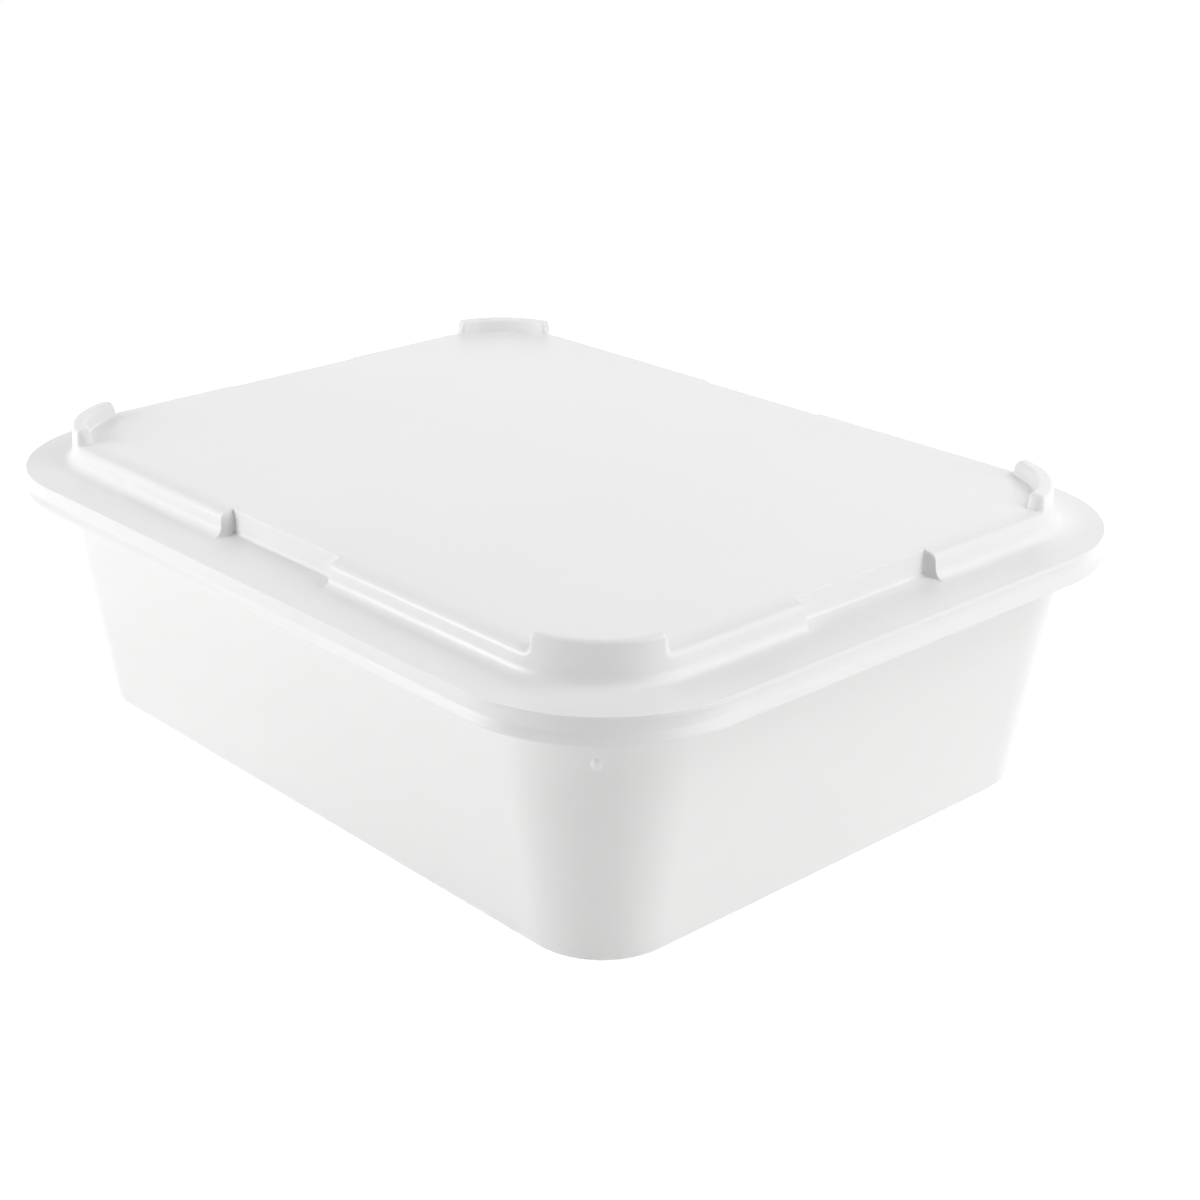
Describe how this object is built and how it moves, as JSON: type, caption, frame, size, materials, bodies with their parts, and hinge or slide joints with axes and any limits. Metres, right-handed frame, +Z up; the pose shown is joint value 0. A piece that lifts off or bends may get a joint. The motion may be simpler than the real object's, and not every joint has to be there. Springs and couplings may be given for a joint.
{
  "type": "dough tray",
  "caption": "Rectangular white plastic dough tray: a deep drafted tub with a flanged rim and a lift-off lid with stacking lugs at its corners.",
  "frame": {"origin": "on the underside of the tub's floor, at the middle of the tray in plan", "axes": "+X along the tray's length, +Y across its width, +Z up through the lid"},
  "size_m": [0.4, 0.311, 0.1279],
  "materials": {
    "tub_plastic": "satin moulded white polypropylene",
    "lid_plastic": "satin moulded white polypropylene"
  },
  "bodies": {
    "tub": {"tub": "tub_plastic"},
    "lid": {"lid": "lid_plastic"}
  },
  "joints": [
    {"name": "lid_lift", "type": "slide", "parent": "tub", "child": "lid", "axis": [0, 0, 1], "range_m": [0, 0.15]}
  ]
}
